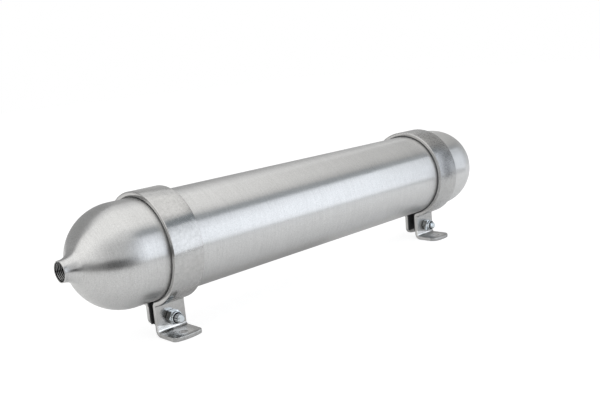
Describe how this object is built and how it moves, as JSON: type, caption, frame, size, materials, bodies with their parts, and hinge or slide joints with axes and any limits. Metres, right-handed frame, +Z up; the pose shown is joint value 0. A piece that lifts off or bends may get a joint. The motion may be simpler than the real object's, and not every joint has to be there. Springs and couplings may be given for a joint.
{
  "type": "compressed air tank",
  "caption": "Long spun aluminium air tank with domed ends and a threaded neck port at each end, held level by bent strap clamps with rubber liners, lock-nutted bolts and drilled feet.",
  "frame": {"origin": "on the ground plane of the feet, under the middle of the tank's length and its axis", "axes": "+X along the tank towards the rear clamp, +Z up, feet towards -Y"},
  "size_m": [0.692, 0.127, 0.16],
  "materials": {
    "tank": "satin, fine turned lines",
    "strap": "tumbled mill finish",
    "liner": "matt",
    "fastener": "bright zinc plate",
    "insert": "smooth"
  },
  "bodies": {
    "root": {"tank_shell": "tank", "front_clamp_strap": "strap", "rear_clamp_strap": "strap", "front_clamp_liner": "liner", "rear_clamp_liner": "liner", "front_clamp_bolt": "fastener", "rear_clamp_bolt": "fastener", "front_lock_nut": "fastener", "rear_lock_nut": "fastener", "front_nut_insert": "insert", "rear_nut_insert": "insert"}
  },
  "joints": []
}
